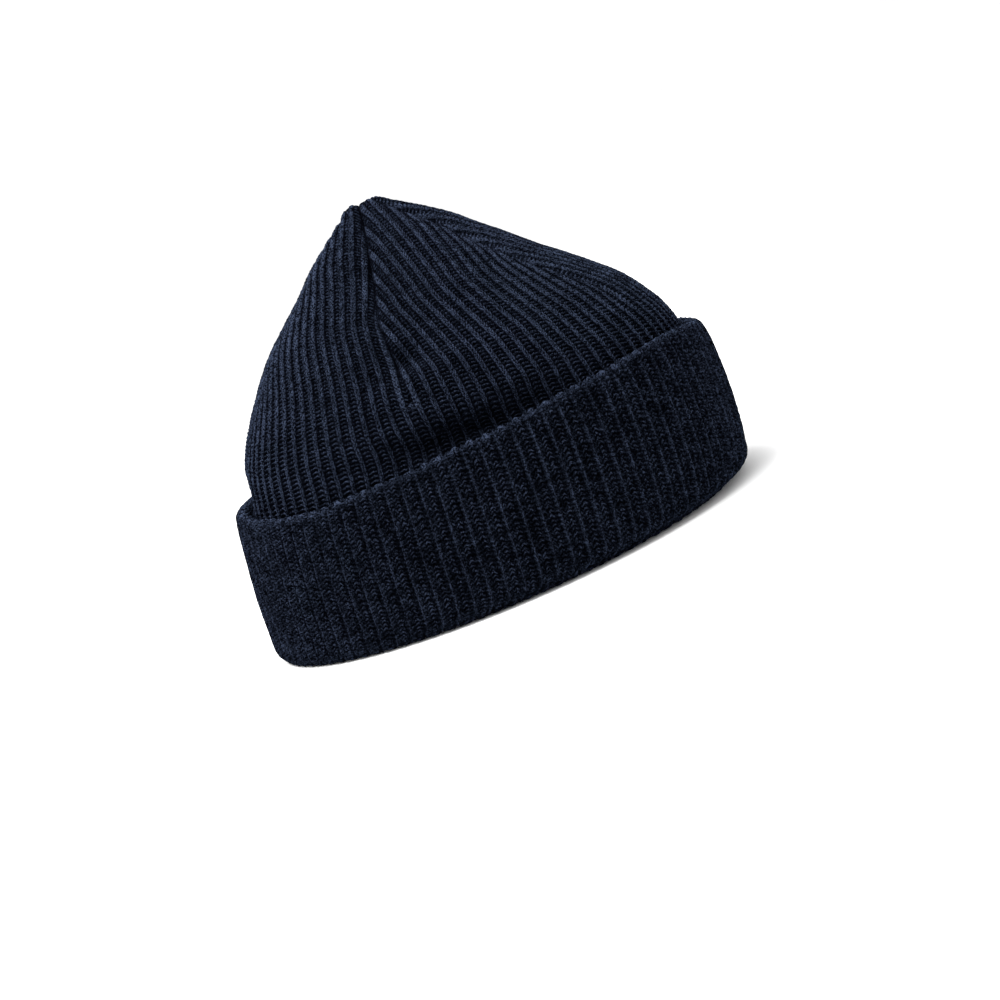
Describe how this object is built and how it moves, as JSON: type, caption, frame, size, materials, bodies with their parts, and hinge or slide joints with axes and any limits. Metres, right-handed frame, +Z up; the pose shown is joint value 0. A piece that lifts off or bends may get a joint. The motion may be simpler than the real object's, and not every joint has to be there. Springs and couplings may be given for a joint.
{
  "type": "cuffed knit beanie",
  "caption": "Rib-knit beanie with a gathered, darted crown, a doubled turned-up cuff and an open hollow for the head.",
  "frame": {"origin": "centre of the beanie's outline on the surface that its rim rests on", "axes": "+Z up through the crown, -Y towards the brow, -X towards the wearer's right side"},
  "size_m": [0.1796, 0.2152, 0.16],
  "materials": {
    "knit_face": "soft navy rib knit, face side, slightly fuzzy",
    "knit_back": "soft navy rib knit, back of the fabric, darker and rougher"
  },
  "bodies": {
    "root": {"crown": "knit_face", "cuff": "knit_back"}
  },
  "joints": []
}
